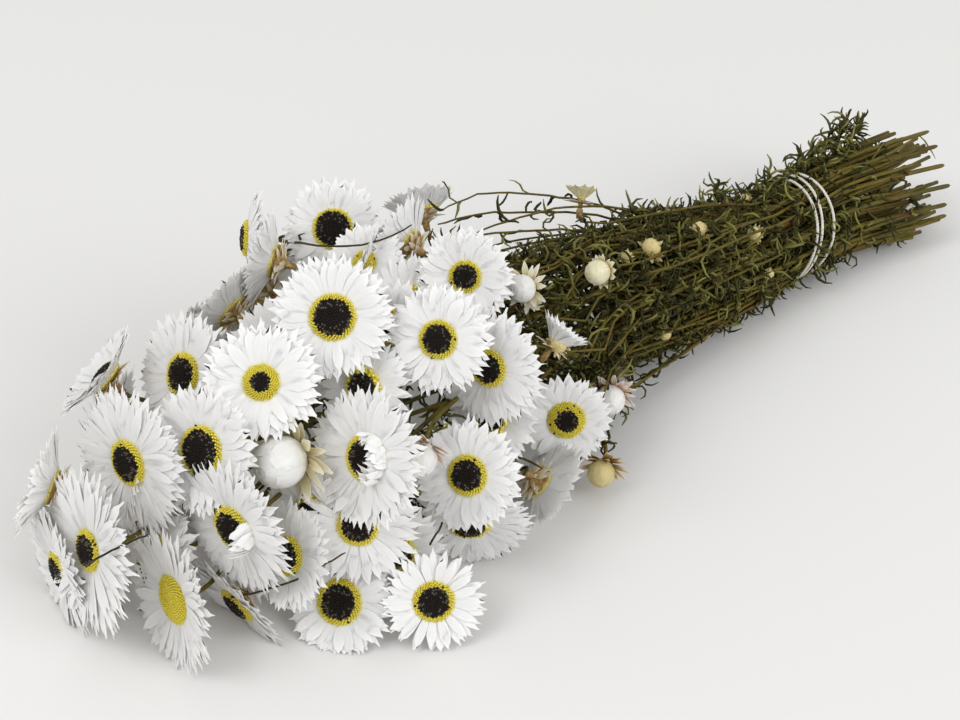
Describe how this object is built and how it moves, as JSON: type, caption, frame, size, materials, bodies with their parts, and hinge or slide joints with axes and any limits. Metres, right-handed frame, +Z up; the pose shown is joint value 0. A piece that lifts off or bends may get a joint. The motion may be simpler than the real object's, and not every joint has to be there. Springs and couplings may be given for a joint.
{
  "type": "bunch of dried everlasting daisies",
  "caption": "Bunch of dried white everlasting daisies with dark discs, buds and leafy stems, tied with thin cord and lying on its side.",
  "frame": {"origin": "Middle of the bunch's box in X and Y, on the surface that it lies on.", "axes": "+X along the bunch toward the cut stem ends, flowers at -X; +Y across it, away from the viewer's side; +Z up from the surface."},
  "size_m": [0.4716, 0.18, 0.1171],
  "materials": {
    "petal": "papery white dried petals, matt to silky",
    "bud_scale": "cream papery bud scales",
    "stem": "dry olive-brown plant stem",
    "cord": "thin twisted white cotton cord"
  },
  "bodies": {
    "root": {"daisy_head_01": "petal", "daisy_head_02": "petal", "daisy_head_03": "petal", "daisy_head_04": "petal", "daisy_head_05": "petal", "daisy_head_06": "petal", "daisy_head_07": "petal", "daisy_head_08": "petal", "daisy_head_09": "petal", "daisy_head_10": "petal", "daisy_head_11": "petal", "daisy_head_12": "petal", "daisy_head_13": "petal", "daisy_head_14": "petal", "daisy_head_15": "petal", "daisy_head_16": "petal", "daisy_head_17": "petal", "daisy_head_18": "petal", "daisy_head_19": "petal", "daisy_head_20": "petal", "daisy_head_21": "petal", "daisy_head_22": "petal", "daisy_head_23": "petal", "daisy_head_24": "petal", "daisy_head_25": "petal", "daisy_head_26": "petal", "daisy_head_27": "petal", "daisy_head_28": "petal", "daisy_head_29": "petal", "daisy_head_30": "petal", "daisy_head_31": "petal", "daisy_head_32": "petal", "daisy_head_33": "petal", "daisy_head_34": "petal", "daisy_head_35": "petal", "daisy_head_36": "petal", "daisy_head_37": "petal", "daisy_head_38": "petal", "daisy_head_39": "petal", "bud_01": "bud_scale", "bud_02": "bud_scale", "bud_03": "bud_scale", "bud_04": "bud_scale", "bud_05": "bud_scale", "bud_06": "bud_scale", "stem_01": "stem", "stem_02": "stem", "stem_03": "stem", "stem_04": "stem", "stem_05": "stem", "stem_06": "stem", "stem_07": "stem", "stem_08": "stem", "stem_09": "stem", "stem_10": "stem", "stem_11": "stem", "stem_12": "stem", "stem_13": "stem", "stem_14": "stem", "tie_cord": "cord"}
  },
  "joints": []
}
